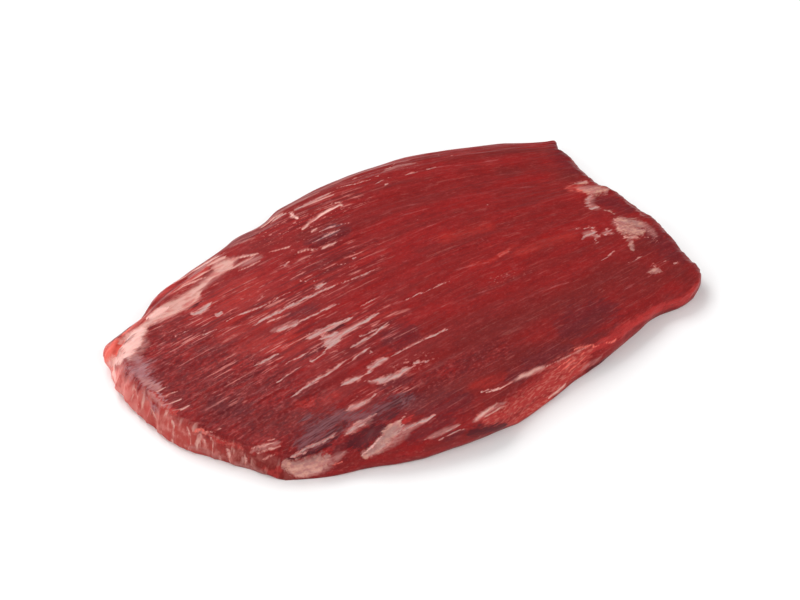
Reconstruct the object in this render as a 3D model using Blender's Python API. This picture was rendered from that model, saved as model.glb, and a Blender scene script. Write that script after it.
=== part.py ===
"""A raw flank steak: one flat slab of long-fibred beef, lying on its underside.

The muscle fibres run along X.  The end at -X is trimmed across the fibres, the
end at +X is a short square cut, and both long edges bow out between them.
"""
import math

import bmesh
import bpy
from mathutils import Vector, geometry, noise

NAME = "flank_steak"

# Corners of the plan, where the edge is widest
NEAR_LEFT = Vector((-0.111, -0.064))
NEAR_RIGHT = Vector((0.1465, -0.078))
FAR_RIGHT = Vector((0.1525, 0.0574))
FAR_LEFT = Vector((-0.1425, 0.0585))

# Each edge is a straight line between its corners that bows outwards:
# (share of the line, distance out), from left to right or from near to far
LEFT_BOW = ((0.0, 0.0), (0.10, 0.0043), (0.27, 0.0117), (0.45, 0.0186), (0.60, 0.0168),
            (0.80, 0.0140), (0.90, 0.0078), (0.96, 0.0038), (1.0, 0.0))
RIGHT_BOW = ((0.0, 0.0), (0.05, 0.0018), (0.10, 0.0022), (0.20, 0.0036), (0.32, 0.0068), (0.45, 0.0050),
             (0.57, 0.0036), (0.66, -0.0015), (0.76, -0.0022), (0.88, -0.0014), (0.94, -0.0030),
             (1.0, 0.0))
FAR_BOW = ((0.0, 0.0), (0.05, 0.0040), (0.09, 0.0082), (0.14, 0.0180), (0.20, 0.0220),
           (0.26, 0.0258), (0.33, 0.0322), (0.385, 0.0327), (0.445, 0.0386), (0.59, 0.0411),
           (0.68, 0.0387), (0.73, 0.0363), (0.78, 0.0323), (0.865, 0.0225), (0.91, 0.0163),
           (0.95, 0.0088), (1.0, 0.0))
NEAR_BOW = ((0.0, 0.0), (0.07, 0.0096), (0.14, 0.0151), (0.22, 0.0239), (0.31, 0.0298),
            (0.40, 0.0316), (0.46, 0.0300), (0.53, 0.0267), (0.60, 0.0223), (0.69, 0.0186),
            (0.78, 0.0136), (0.87, 0.0074), (0.93, 0.0082), (0.97, 0.0060), (1.0, 0.0))

# Full thickness from the left end (share 0) to the right end (share 1)
THICKNESS = ((0.0, 0.0180), (0.15, 0.0190), (0.40, 0.0215), (0.65, 0.0205), (0.85, 0.0165),
             (1.0, 0.0135))
CROWN = 0.08            # share of the thickness lost at the long edges

# How the upper face comes down at each edge, along it as above: the share of the
# thickness left at the very edge, the width of the shoulder, and its fullness
# (1 round, 0 a bevel)
LEFT_RIM = ((0.0, 0.16), (0.60, 0.14), (0.80, 0.30), (1.0, 0.45))
LEFT_SHOULDER = ((0.0, 0.008), (0.20, 0.006), (0.50, 0.0045), (0.75, 0.006), (1.0, 0.009))
LEFT_FULLNESS = ((0.0, 0.45), (1.0, 0.45))
RIGHT_RIM = ((0.0, 0.75), (0.30, 0.50), (0.70, 0.45), (1.0, 0.70))
RIGHT_SHOULDER = ((0.0, 0.006), (0.50, 0.007), (1.0, 0.005))
RIGHT_FULLNESS = ((0.0, 0.8), (1.0, 0.8))
FAR_RIM = ((0.0, 0.45), (0.50, 0.42), (0.85, 0.42), (1.0, 0.65))
FAR_SHOULDER = ((0.0, 0.014), (0.30, 0.024), (0.60, 0.026), (1.0, 0.016))
FAR_FULLNESS = ((0.0, 0.9), (1.0, 0.9))
NEAR_RIM = ((0.0, 0.20), (0.15, 0.30), (0.28, 0.55), (0.40, 0.58), (0.46, 0.16), (0.62, 0.14),
            (0.72, 0.45), (0.80, 0.66), (0.92, 0.70), (1.0, 0.80))
NEAR_SHOULDER = ((0.0, 0.016), (0.12, 0.019), (0.28, 0.013), (0.40, 0.009), (0.52, 0.011),
                 (0.62, 0.007), (0.80, 0.005), (1.0, 0.004))
NEAR_FULLNESS = ((0.0, 0.7), (0.38, 0.8), (0.48, 0.25), (0.60, 0.25), (0.72, 0.6), (1.0, 0.4))
CORNER_POWER = 2.5      # how sharply two shoulders meet in a corner
LOWEST_RIM = 0.0022     # height of the edge where both shoulders are low

# Below its widest level the edge curls under to the flat underside
CURL = 0.42             # inward run of the curl per metre of height
CURL_STEPS = 3

# Folds, creases and lumps of the upper face: path, half width, height
RELIEF = (
    # strap of fat that is folded up along the far left edge
    (((-0.150, 0.026), (-0.138, 0.038), (-0.120, 0.055), (-0.095, 0.064), (-0.066, 0.071)),
     0.0048, 0.0022),
    # crease on the outer side of the strap
    (((-0.116, 0.0625), (-0.098, 0.070), (-0.080, 0.0755)), 0.0026, -0.0012),
    # crease that sets off the small knob at the far left corner
    (((-0.154, 0.042), (-0.143, 0.046), (-0.133, 0.053)), 0.0022, -0.0040),
    # gash beside the near left corner
    (((-0.096, -0.068), (-0.085, -0.067), (-0.075, -0.064)), 0.0022, -0.0028),
    # hollow along the near edge, and the fat lump outside it
    (((-0.082, -0.073), (-0.072, -0.074), (-0.059, -0.072), (-0.045, -0.070)), 0.0040, -0.0026),
    (((-0.078, -0.083), (-0.068, -0.082), (-0.052, -0.079)), 0.0042, 0.0020),
    # star of fat at the right end
    (((0.126, -0.012), (0.133, -0.021), (0.130, -0.034)), 0.0060, 0.0012),
    # dip of the far side, where the meat thins towards the far right corner
    (((0.060, 0.062), (0.120, 0.036)), 0.0180, -0.0012),
)

# Long bundles of fibres, which fan out from the right end
BUNDLE_PITCH = 0.010    # across the fibres
BUNDLE_LENGTH = 0.085   # along the fibres
BUNDLE_DEPTH = 0.0011
FAN_CENTRE = ((-0.150, -0.010), (-0.075, -0.0055), (0.0, -0.004), (0.075, -0.006), (0.150, -0.012))
FAN_WIDTH = ((-0.150, 0.101), (-0.075, 0.097), (0.0, 0.095), (0.075, 0.086), (0.150, 0.066))

# Uneven trimming of the outline
TRIM_PITCH = 0.022
TRIM_DEPTH = 0.0011

# Mesh of the upper face; its rows close up towards the edges
ROWS_ALONG = 66
ROWS_ACROSS = 44
CROWDING = 0.72
RIM_PROBE = 0.04        # share of the plan used to find the inward direction

MEAT_COLOUR = (0.30, 0.028, 0.026, 1.0)
MEAT_ROUGHNESS = 0.42


def along(stops, at):
    """Value at a place on the smooth curve through (place, value) stops."""
    def slope(i):
        before = stops[max(i - 1, 0)]
        after = stops[min(i + 1, len(stops) - 1)]
        return (after[1] - before[1]) / (after[0] - before[0])

    i = 0
    while i < len(stops) - 2 and at > stops[i + 1][0]:
        i += 1
    step = stops[i + 1][0] - stops[i][0]
    s = min(max((at - stops[i][0]) / step, 0.0), 1.0)
    start_weight = (1 + 2 * s) * (1 - s) ** 2
    end_weight = s * s * (3 - 2 * s)
    return (start_weight * stops[i][1] + end_weight * stops[i + 1][1]
            + s * (1 - s) ** 2 * step * slope(i) - s * s * (1 - s) * step * slope(i + 1))


def edge_point(start, end, bow, share, side):
    """Point on an edge of the plan; side is 1 where the slab is on its right."""
    line = end - start
    outward = side * Vector((-line.y, line.x)).normalized()
    trim = TRIM_DEPTH * noise.noise((start + line * share).to_3d() / TRIM_PITCH)
    trim *= math.sin(math.pi * share)
    return start + line * share + outward * (along(bow, share) + trim)


def plan(u, v):
    """Place in the plan, from u (left to right) and v (near to far)."""
    near = edge_point(NEAR_LEFT, NEAR_RIGHT, NEAR_BOW, u, -1)
    far = edge_point(FAR_LEFT, FAR_RIGHT, FAR_BOW, u, 1)
    left = edge_point(NEAR_LEFT, FAR_LEFT, LEFT_BOW, v, 1)
    right = edge_point(NEAR_RIGHT, FAR_RIGHT, RIGHT_BOW, v, -1)
    corners = ((NEAR_LEFT * (1 - u) + NEAR_RIGHT * u) * (1 - v)
               + (FAR_LEFT * (1 - u) + FAR_RIGHT * u) * v)
    return near * (1 - v) + far * v + left * (1 - u) + right * u - corners


def shoulder_gap(distance, share, rims, widths, fullnesses):
    """Part of the thickness that is missing at a distance in from an edge."""
    s = min(distance / along(widths, share), 1.0)
    fullness = along(fullnesses, share)
    rise = fullness * math.sqrt(1 - (1 - s) ** 2) + (1 - fullness) * s
    return (1 - along(rims, share)) * (1 - rise)


def path_distance(point, path):
    """Distance from a point of the plan to a path of straight runs."""
    nearest = []
    for start, end in zip(path, path[1:]):
        foot, share = geometry.intersect_point_line(point, Vector(start), Vector(end))
        foot = Vector(start).lerp(Vector(end), min(max(share, 0.0), 1.0))
        nearest.append((point - foot).length)
    return min(nearest)


def bundles(point):
    """Height of the fibre bundles at a point of the plan."""
    across = (point.y - along(FAN_CENTRE, point.x)) / along(FAN_WIDTH, point.x)
    across *= along(FAN_WIDTH, 0.0)
    return BUNDLE_DEPTH * noise.noise(Vector((point.x / BUNDLE_LENGTH, across / BUNDLE_PITCH, 0.0)))


def height(u, v, point):
    """Height of the upper face over a point of the plan."""
    length = FAR_RIGHT.x - FAR_LEFT.x
    width = plan(u, 1.0).y - plan(u, 0.0).y
    gaps = (
        shoulder_gap(u * length, v, LEFT_RIM, LEFT_SHOULDER, LEFT_FULLNESS),
        shoulder_gap((1 - u) * length, v, RIGHT_RIM, RIGHT_SHOULDER, RIGHT_FULLNESS),
        shoulder_gap(v * width, u, NEAR_RIM, NEAR_SHOULDER, NEAR_FULLNESS),
        shoulder_gap((1 - v) * width, u, FAR_RIM, FAR_SHOULDER, FAR_FULLNESS),
    )
    gap = sum(g ** CORNER_POWER for g in gaps) ** (1 / CORNER_POWER)
    thickness = along(THICKNESS, u) * (1 - CROWN * (2 * v - 1) ** 2)
    relief = bundles(point)
    for path, half_width, rise in RELIEF:
        relief += rise * math.exp(-(path_distance(point, path) / half_width) ** 2)
    return max((thickness + relief) * (1 - min(gap, 1.0)), LOWEST_RIM)


def surface_point(u, v, step):
    """Point of the slab: step 0 is the upper face, CURL_STEPS the underside's rim."""
    point = plan(u, v)
    top = height(u, v, point)
    angle = 0.5 * math.pi * step / CURL_STEPS
    inward = plan(u + (0.5 - u) * RIM_PROBE, v + (0.5 - v) * RIM_PROBE) - point
    point += inward.normalized() * CURL * top * (1 - math.cos(angle))
    return Vector((point.x, point.y, top * (1 - math.sin(angle)) if step < CURL_STEPS else 0.0))


def crowd(share):
    """Spread evenly spaced rows so that they close up towards both edges."""
    return share - CROWDING * math.sin(2 * math.pi * share) / (2 * math.pi)


def steak_mesh():
    """The closed slab: a grid for the upper face, its edge drawn down and under."""
    bm = bmesh.new()
    bmesh.ops.create_grid(bm, x_segments=ROWS_ALONG, y_segments=ROWS_ACROSS, size=0.5)
    rim = [edge for edge in bm.edges if edge.is_boundary]
    for step in range(CURL_STEPS):
        drawn = bmesh.ops.extrude_edge_only(bm, edges=rim)["geom"]
        for vert in (item for item in drawn if isinstance(item, bmesh.types.BMVert)):
            vert.co.z = step + 1
        rim = [item for item in drawn if isinstance(item, bmesh.types.BMEdge)]
    bmesh.ops.contextual_create(bm, geom=[edge for edge in bm.edges if edge.is_boundary])
    for vert in bm.verts:
        u = crowd(vert.co.x + 0.5)
        v = crowd(vert.co.y + 0.5)
        vert.co = surface_point(u, v, round(vert.co.z))
    low = Vector(min(vert.co[axis] for vert in bm.verts) for axis in range(3))
    high = Vector(max(vert.co[axis] for vert in bm.verts) for axis in range(3))
    middle = (low + high) / 2
    bmesh.ops.translate(bm, verts=bm.verts, vec=Vector((-middle.x, -middle.y, 0.0)))
    bmesh.ops.recalc_face_normals(bm, faces=bm.faces)
    mesh = bpy.data.meshes.new(NAME)
    bm.to_mesh(mesh)
    bm.free()
    mesh.shade_smooth()
    return mesh


def meat_material():
    """Raw beef: deep red and slightly moist."""
    material = bpy.data.materials.new("raw_beef")
    material.use_nodes = True
    shader = material.node_tree.nodes["Principled BSDF"]
    shader.inputs["Base Color"].default_value = MEAT_COLOUR
    shader.inputs["Roughness"].default_value = MEAT_ROUGHNESS
    shader.inputs["Metallic"].default_value = 0.0
    return material


def main():
    for old in list(bpy.data.objects):
        bpy.data.objects.remove(old)
    collection = bpy.data.collections.new(NAME)
    bpy.context.scene.collection.children.link(collection)
    steak = bpy.data.objects.new(NAME, steak_mesh())
    steak.data.materials.append(meat_material())
    collection.objects.link(steak)


main()
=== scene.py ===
import math

import bmesh
import bpy
import numpy as np
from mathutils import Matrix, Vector, noise
from mathutils.bvhtree import BVHTree


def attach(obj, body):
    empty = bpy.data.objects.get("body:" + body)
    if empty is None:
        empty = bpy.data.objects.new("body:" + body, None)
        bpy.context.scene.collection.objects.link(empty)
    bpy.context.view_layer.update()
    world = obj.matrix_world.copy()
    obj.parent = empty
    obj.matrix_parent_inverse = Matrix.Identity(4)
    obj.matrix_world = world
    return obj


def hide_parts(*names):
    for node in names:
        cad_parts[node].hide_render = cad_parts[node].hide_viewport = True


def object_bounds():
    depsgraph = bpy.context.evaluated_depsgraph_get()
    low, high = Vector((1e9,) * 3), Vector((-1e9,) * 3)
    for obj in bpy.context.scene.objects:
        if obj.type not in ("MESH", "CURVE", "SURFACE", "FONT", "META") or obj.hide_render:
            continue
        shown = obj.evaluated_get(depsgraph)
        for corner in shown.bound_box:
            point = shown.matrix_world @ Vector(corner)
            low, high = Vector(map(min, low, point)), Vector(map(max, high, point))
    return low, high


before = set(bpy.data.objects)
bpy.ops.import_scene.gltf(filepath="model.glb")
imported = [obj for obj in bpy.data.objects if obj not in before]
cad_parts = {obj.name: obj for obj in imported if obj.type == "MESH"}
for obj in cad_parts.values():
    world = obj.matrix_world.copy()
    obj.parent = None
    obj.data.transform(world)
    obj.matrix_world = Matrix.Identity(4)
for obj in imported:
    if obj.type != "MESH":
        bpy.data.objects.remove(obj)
cad_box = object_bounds()

# Camera. A long lens looks down over the near left side of the steak. The marks on
# the meat are placed along its lines of sight, so it comes first.
PHOTO_WIDTH = 800
PHOTO_HEIGHT = 600
LENS_MM = 85.0
SENSOR_MM = 36.0
AZIMUTH = math.radians(-35)
ELEVATION = math.radians(44)
DISTANCE = 1.0
CLIP_START = 0.05
LOOK_AT = Vector((0.0006, 0.0013, 0.0085))

lens = bpy.data.cameras.new("camera")
lens.lens = LENS_MM
lens.sensor_width = SENSOR_MM
lens.clip_start = CLIP_START
camera = bpy.data.objects.new("camera", lens)
camera_back = Vector((math.sin(AZIMUTH) * math.cos(ELEVATION),
                      -math.cos(AZIMUTH) * math.cos(ELEVATION), math.sin(ELEVATION)))
camera_right = Vector((math.cos(AZIMUTH), math.sin(AZIMUTH), 0.0))
camera_up = camera_back.cross(camera_right)
camera.location = LOOK_AT + camera_back * DISTANCE
camera.rotation_euler = camera_back.to_track_quat("Z", "Y").to_euler()
bpy.context.scene.collection.objects.link(camera)
bpy.context.scene.camera = camera


def sight_line(pixel):
    """Direction from the camera through a pixel of the photograph."""
    focal_pixels = LENS_MM / SENSOR_MM * PHOTO_WIDTH
    across = (pixel[0] - PHOTO_WIDTH / 2) / focal_pixels
    down = (pixel[1] - PHOTO_HEIGHT / 2) / focal_pixels
    return (camera_right * across - camera_up * down - camera_back).normalized()


# The steak. One slab of long-fibred raw beef, trimmed across the fibres at its
# left end and cut square at its right end.  Its body has the solid's own sizes,
# and fibres, fat and the torn ends of the bundles stand out of it as relief.
NEAR_LEFT = np.array((-0.111, -0.064))
NEAR_RIGHT = np.array((0.1465, -0.078))
FAR_RIGHT = np.array((0.1525, 0.0574))
FAR_LEFT = np.array((-0.1425, 0.0585))

# Each edge bows out from the line between its corners: (share of line, distance)
LEFT_BOW = ((0.0, 0.0), (0.10, 0.0043), (0.27, 0.0117), (0.45, 0.0186), (0.60, 0.0168),
            (0.80, 0.0140), (0.90, 0.0078), (0.96, 0.0038), (1.0, 0.0))
RIGHT_BOW = ((0.0, 0.0), (0.05, 0.0018), (0.10, 0.0022), (0.20, 0.0036), (0.32, 0.0068),
             (0.45, 0.0050), (0.57, 0.0036), (0.66, -0.0015), (0.76, -0.0022), (0.88, -0.0014),
             (0.94, -0.0030), (1.0, 0.0))
FAR_BOW = ((0.0, 0.0), (0.05, 0.0040), (0.09, 0.0082), (0.14, 0.0180), (0.20, 0.0220),
           (0.26, 0.0258), (0.33, 0.0322), (0.385, 0.0327), (0.445, 0.0386), (0.59, 0.0411),
           (0.68, 0.0387), (0.73, 0.0363), (0.78, 0.0323), (0.865, 0.0225), (0.91, 0.0163),
           (0.95, 0.0088), (1.0, 0.0))
NEAR_BOW = ((0.0, 0.0), (0.07, 0.0096), (0.14, 0.0151), (0.22, 0.0239), (0.31, 0.0298),
            (0.40, 0.0316), (0.46, 0.0300), (0.53, 0.0267), (0.60, 0.0223), (0.69, 0.0186),
            (0.78, 0.0136), (0.87, 0.0074), (0.93, 0.0082), (0.97, 0.0060), (1.0, 0.0))
TRIM_PITCH = 0.022
TRIM_DEPTH = 0.0011

# Along the steak: (share of its length, thickness). At each edge, along that edge: the
# rim's height and the fullness of the shoulder as shares, and the shoulder's width.
THICKNESS = ((0.0, 0.0180), (0.15, 0.0190), (0.40, 0.0215), (0.65, 0.0205), (0.85, 0.0165),
             (1.0, 0.0135))
CROWN = 0.08
LEFT_RIM = ((0.0, 0.16), (0.60, 0.14), (0.80, 0.30), (1.0, 0.45))
LEFT_SHOULDER = ((0.0, 0.008), (0.20, 0.006), (0.50, 0.0045), (0.75, 0.006), (1.0, 0.009))
LEFT_FULLNESS = ((0.0, 0.45), (1.0, 0.45))
RIGHT_RIM = ((0.0, 0.75), (0.30, 0.50), (0.70, 0.45), (1.0, 0.70))
RIGHT_SHOULDER = ((0.0, 0.006), (0.50, 0.007), (1.0, 0.005))
RIGHT_FULLNESS = ((0.0, 0.8), (1.0, 0.8))
FAR_RIM = ((0.0, 0.45), (0.50, 0.42), (0.85, 0.42), (1.0, 0.65))
FAR_SHOULDER = ((0.0, 0.014), (0.30, 0.024), (0.60, 0.026), (1.0, 0.016))
FAR_FULLNESS = ((0.0, 0.9), (1.0, 0.9))
NEAR_RIM = ((0.0, 0.20), (0.15, 0.30), (0.28, 0.55), (0.40, 0.58), (0.46, 0.16), (0.62, 0.14),
            (0.72, 0.45), (0.80, 0.66), (0.92, 0.70), (1.0, 0.80))
NEAR_SHOULDER = ((0.0, 0.016), (0.12, 0.019), (0.28, 0.013), (0.40, 0.009), (0.52, 0.011),
                 (0.62, 0.007), (0.80, 0.005), (1.0, 0.004))
NEAR_FULLNESS = ((0.0, 0.7), (0.38, 0.8), (0.48, 0.25), (0.60, 0.25), (0.72, 0.6), (1.0, 0.4))
CORNER_POWER = 2.5
LOWEST_RIM = 0.0022
CURL = 0.42

# Folds, creases and lumps: path, half width, height
RELIEF = (
    (((-0.150, 0.026), (-0.138, 0.038), (-0.120, 0.055), (-0.095, 0.064), (-0.066, 0.071)),
     0.0048, 0.0022),
    (((-0.116, 0.0625), (-0.098, 0.070), (-0.080, 0.0755)), 0.0026, -0.0012),
    (((-0.154, 0.042), (-0.143, 0.046), (-0.133, 0.053)), 0.0022, -0.0040),
    (((-0.096, -0.068), (-0.085, -0.067), (-0.075, -0.064)), 0.0022, -0.0028),
    (((-0.082, -0.073), (-0.072, -0.074), (-0.059, -0.072), (-0.045, -0.070)), 0.0040, -0.0026),
    (((-0.078, -0.083), (-0.068, -0.082), (-0.052, -0.079)), 0.0042, 0.0020),
    (((0.126, -0.012), (0.133, -0.021), (0.130, -0.034)), 0.0060, 0.0012),
    (((0.060, 0.062), (0.120, 0.036)), 0.0180, -0.0012),
)
BUNDLE_PITCH = 0.010
BUNDLE_LENGTH = 0.085
BUNDLE_DEPTH = 0.0011
FAN_CENTRE = ((-0.150, -0.010), (-0.075, -0.0055), (0.0, -0.004), (0.075, -0.006), (0.150, -0.012))
FAN_WIDTH = ((-0.150, 0.101), (-0.075, 0.097), (0.0, 0.095), (0.075, 0.086), (0.150, 0.066))


def along(stops, at):
    """Values at places on the smooth curve through (place, value) stops."""
    places, values = np.array(stops).T
    index = np.arange(len(places))
    before = np.maximum(index - 1, 0)
    after = np.minimum(index + 1, len(places) - 1)
    slopes = (values[after] - values[before]) / (places[after] - places[before])
    i = np.clip(np.searchsorted(places, at) - 1, 0, len(places) - 2)
    step = places[i + 1] - places[i]
    s = np.clip((at - places[i]) / step, 0.0, 1.0)
    return ((1 + 2 * s) * (1 - s) ** 2 * values[i] + s * s * (3 - 2 * s) * values[i + 1]
            + s * (1 - s) ** 2 * step * slopes[i] - s * s * (1 - s) * step * slopes[i + 1])


def ripple(x, y=0.0, z=0.0):
    """Smooth noise from about -0.5 to 0.5 at arrays of coordinates."""
    places = np.stack(np.broadcast_arrays(x, y, z), axis=-1).reshape(-1, 3)
    return np.array([noise.noise(place) for place in places.tolist()])


def edge_points(start, end, bow, share, side):
    """Points on an edge of the plan; side is 1 where the slab is on its right."""
    shares, index = np.unique(share, return_inverse=True)
    line = end - start
    outward = side * np.array((-line[1], line[0])) / np.hypot(*line)
    straight = start + shares[:, None] * line
    trim = TRIM_DEPTH * ripple(straight[:, 0] / TRIM_PITCH, straight[:, 1] / TRIM_PITCH)
    out = along(bow, shares) + trim * np.sin(np.pi * shares)
    return (straight + out[:, None] * outward)[index.ravel()]


def plan(u, v):
    """Places in the plan, from u (left to right) and v (near to far)."""
    near = edge_points(NEAR_LEFT, NEAR_RIGHT, NEAR_BOW, u, -1)
    far = edge_points(FAR_LEFT, FAR_RIGHT, FAR_BOW, u, 1)
    left = edge_points(NEAR_LEFT, FAR_LEFT, LEFT_BOW, v, 1)
    right = edge_points(NEAR_RIGHT, FAR_RIGHT, RIGHT_BOW, v, -1)
    u = u[:, None]
    v = v[:, None]
    corners = ((NEAR_LEFT * (1 - u) + NEAR_RIGHT * u) * (1 - v)
               + (FAR_LEFT * (1 - u) + FAR_RIGHT * u) * v)
    return near * (1 - v) + far * v + left * (1 - u) + right * u - corners


def shoulder_gap(distance, share, rims, widths, fullnesses):
    """Part of the thickness that is missing at distances in from an edge."""
    s = np.minimum(distance / along(widths, share), 1.0)
    fullness = along(fullnesses, share)
    climb = fullness * np.sqrt(1 - (1 - s) ** 2) + (1 - fullness) * s
    return (1 - along(rims, share)) * (1 - climb)


def path_distance(points, path):
    """Distance from points to a path of straight runs, and the share of the path."""
    runs = [np.linalg.norm(np.subtract(end, start)) for start, end in zip(path, path[1:])]
    nearest = np.full(len(points), np.inf)
    share = np.zeros(len(points))
    walked = 0.0
    for start, end, length in zip(path, path[1:], runs):
        line = np.subtract(end, start)
        t = np.clip(((points - start) @ line) / length ** 2, 0.0, 1.0)
        distance = np.linalg.norm(points - start - t[:, None] * line, axis=1)
        closer = distance < nearest
        nearest[closer] = distance[closer]
        share[closer] = (walked + t[closer] * length) / sum(runs)
        walked += length
    return nearest, share


def across_fibres(points):
    """Distance across the fan of fibres, which closes up towards the right end."""
    middle = along(FAN_CENTRE, points[:, 0])
    spread = along(FAN_WIDTH, points[:, 0]) / along(FAN_WIDTH, np.zeros(1))
    return (points[:, 1] - middle) / spread


def heights(u, v, points):
    """Height of the upper face over points of the plan."""
    length = FAR_RIGHT[0] - FAR_LEFT[0]
    width = (edge_points(FAR_LEFT, FAR_RIGHT, FAR_BOW, u, 1)
             - edge_points(NEAR_LEFT, NEAR_RIGHT, NEAR_BOW, u, -1))[:, 1]
    gaps = (
        shoulder_gap(u * length, v, LEFT_RIM, LEFT_SHOULDER, LEFT_FULLNESS),
        shoulder_gap((1 - u) * length, v, RIGHT_RIM, RIGHT_SHOULDER, RIGHT_FULLNESS),
        shoulder_gap(v * width, u, NEAR_RIM, NEAR_SHOULDER, NEAR_FULLNESS),
        shoulder_gap((1 - v) * width, u, FAR_RIM, FAR_SHOULDER, FAR_FULLNESS),
    )
    gap = sum(g ** CORNER_POWER for g in gaps) ** (1 / CORNER_POWER)
    thickness = along(THICKNESS, u) * (1 - CROWN * (2 * v - 1) ** 2)
    bundles = ripple(points[:, 0] / BUNDLE_LENGTH, across_fibres(points) / BUNDLE_PITCH)
    relief = BUNDLE_DEPTH * bundles
    for path, half_width, height in RELIEF:
        relief += height * np.exp(-(path_distance(points, path)[0] / half_width) ** 2)
    return np.maximum((thickness + relief) * (1 - np.minimum(gap, 1.0)), LOWEST_RIM)


# The mesh. Its rows close up where the faces turn down: (crowding, reach) of each edge
ROWS_ALONG = 190
ROWS_ACROSS = 440
LEFT_CROWD = (7.0, 0.006)
RIGHT_CROWD = (3.0, 0.005)
NEAR_CROWD = (2.0, 0.012)
FAR_CROWD = (1.0, 0.012)
CURL_STEPS = 6
UNDERSIDE_RINGS = (0.88, 0.75, 0.60, 0.45, 0.30, 0.15)
UNDERSIDE_BUMPS = 0.0005
UNDERSIDE_PITCH = (0.030, 0.008)
RIM_PROBE = 0.04
CROWD_STEPS = 4001


def crowded(share, length, low, high):
    """Spread even rows over a length so that they close up at its two ends."""
    place = np.linspace(0.0, 1.0, CROWD_STEPS)
    rows = (place + low[0] * low[1] / length * (1 - np.exp(-place * length / low[1]))
            + high[0] * high[1] / length * np.exp((place - 1) * length / high[1]))
    rows = (rows - rows[0]) / (rows[-1] - rows[0])
    return np.interp(share, rows, place)


def slab_mesh():
    """A flat grid whose edge is drawn down in rings and in under the slab."""
    bm = bmesh.new()
    bmesh.ops.create_grid(bm, x_segments=ROWS_ALONG - 1, y_segments=ROWS_ACROSS - 1, size=0.5)
    rim = [edge for edge in bm.edges if edge.is_boundary]
    shrink = 1.0
    for step in range(CURL_STEPS + len(UNDERSIDE_RINGS)):
        drawn = bmesh.ops.extrude_edge_only(bm, edges=rim)["geom"]
        ring = UNDERSIDE_RINGS[step - CURL_STEPS] if step >= CURL_STEPS else 1.0
        for vert in (item for item in drawn if isinstance(item, bmesh.types.BMVert)):
            vert.co.x *= ring / shrink
            vert.co.y *= ring / shrink
            vert.co.z = step + 1
        shrink = ring
        rim = [item for item in drawn if isinstance(item, bmesh.types.BMEdge)]
    bmesh.ops.contextual_create(bm, geom=[edge for edge in bm.edges if edge.is_boundary])
    bmesh.ops.recalc_face_normals(bm, faces=bm.faces)
    mesh = bpy.data.meshes.new("steak")
    bm.to_mesh(mesh)
    bm.free()
    mesh.shade_smooth()
    return mesh


mesh = slab_mesh()
count = len(mesh.vertices)
unit = np.empty(count * 3)
mesh.vertices.foreach_get("co", unit)
unit = unit.reshape(-1, 3)
step = np.rint(unit[:, 2])
length = cad_box[1][0] - cad_box[0][0]
width = cad_box[1][1] - cad_box[0][1]
u = crowded(unit[:, 0] + 0.5, length, LEFT_CROWD, RIGHT_CROWD)
v = crowded(unit[:, 1] + 0.5, width, NEAR_CROWD, FAR_CROWD)
flat = plan(u, v)
top = heights(u, v, flat)
angle = 0.5 * np.pi * np.minimum(step, CURL_STEPS) / CURL_STEPS
inward = plan(u + (0.5 - u) * RIM_PROBE, v + (0.5 - v) * RIM_PROBE) - flat
inward /= np.maximum(np.linalg.norm(inward, axis=1), 1e-9)[:, None]
on_curl = step <= CURL_STEPS
body = np.zeros((count, 3))
body[:, :2] = flat + (on_curl * CURL * top * (1 - np.cos(angle)))[:, None] * inward
body[:, 2] = np.where(step < CURL_STEPS, top * (1 - np.sin(angle)), 0.0)
under = step > CURL_STEPS
bumps = ripple(flat[under, 0] / UNDERSIDE_PITCH[0], flat[under, 1] / UNDERSIDE_PITCH[1])
body[under, 2] = UNDERSIDE_BUMPS * (0.5 + bumps)
middle = (body[:, :2].min(axis=0) + body[:, :2].max(axis=0)) / 2
cad_middle = (np.array(cad_box[0])[:2] + np.array(cad_box[1])[:2]) / 2
body[:, :2] += cad_middle - middle
mesh.vertices.foreach_set("co", body.ravel())
mesh.update()

# A flat map of its faces for pictures of it: (left, low, right, high) of the upper
# face, of a strip for each side, and of the underside
UPPER_MAP = (0.005, 0.300, 0.995, 0.995)
SIDE_MAPS = ((0.005, 0.192, 0.995, 0.214), (0.005, 0.217, 0.995, 0.239),
             (0.005, 0.242, 0.995, 0.264), (0.005, 0.267, 0.995, 0.289))
UNDER_MAP = (0.005, 0.005, 0.995, 0.180)


def placed(area, across, up):
    """Spots in an area of the map, from shares of its width and height."""
    left, low, right, high = area
    return np.stack((left + (right - left) * across, low + (high - low) * up), axis=-1)


corner_points = np.empty(len(mesh.loops), dtype=np.int32)
mesh.loops.foreach_get("vertex_index", corner_points)
face_starts = np.empty(len(mesh.polygons), dtype=np.int32)
mesh.polygons.foreach_get("loop_start", face_starts)
face_sizes = np.diff(np.append(face_starts, len(corner_points)))
shares = unit[corner_points] + 0.5
corner_steps = step[corner_points]
centres = np.add.reduceat(shares, face_starts, axis=0) / face_sizes[:, None] - 0.5
centres = np.repeat(centres, face_sizes, axis=0)
lowest_steps = np.repeat(np.minimum.reduceat(corner_steps, face_starts), face_sizes)
highest_steps = np.repeat(np.maximum.reduceat(corner_steps, face_starts), face_sizes)
spread_out = (body[corner_points, :2] - cad_box[0][:2]) / (length, width)
spots = placed(UNDER_MAP, spread_out[:, 0], spread_out[:, 1])
down = corner_steps / CURL_STEPS
on_ends = np.abs(centres[:, 0]) > np.abs(centres[:, 1])
faces_of_sides = (on_ends & (centres[:, 0] < 0), on_ends & (centres[:, 0] > 0),
                  ~on_ends & (centres[:, 1] < 0), ~on_ends & (centres[:, 1] > 0))
runs_of_sides = (1, 1, 0, 0)
for area, on_side, run in zip(SIDE_MAPS, faces_of_sides, runs_of_sides):
    on_side &= lowest_steps < CURL_STEPS
    spots[on_side] = placed(area, shares[:, run], down)[on_side]
upper = highest_steps == 0
spots[upper] = placed(UPPER_MAP, shares[:, 0], shares[:, 1])[upper]
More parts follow.
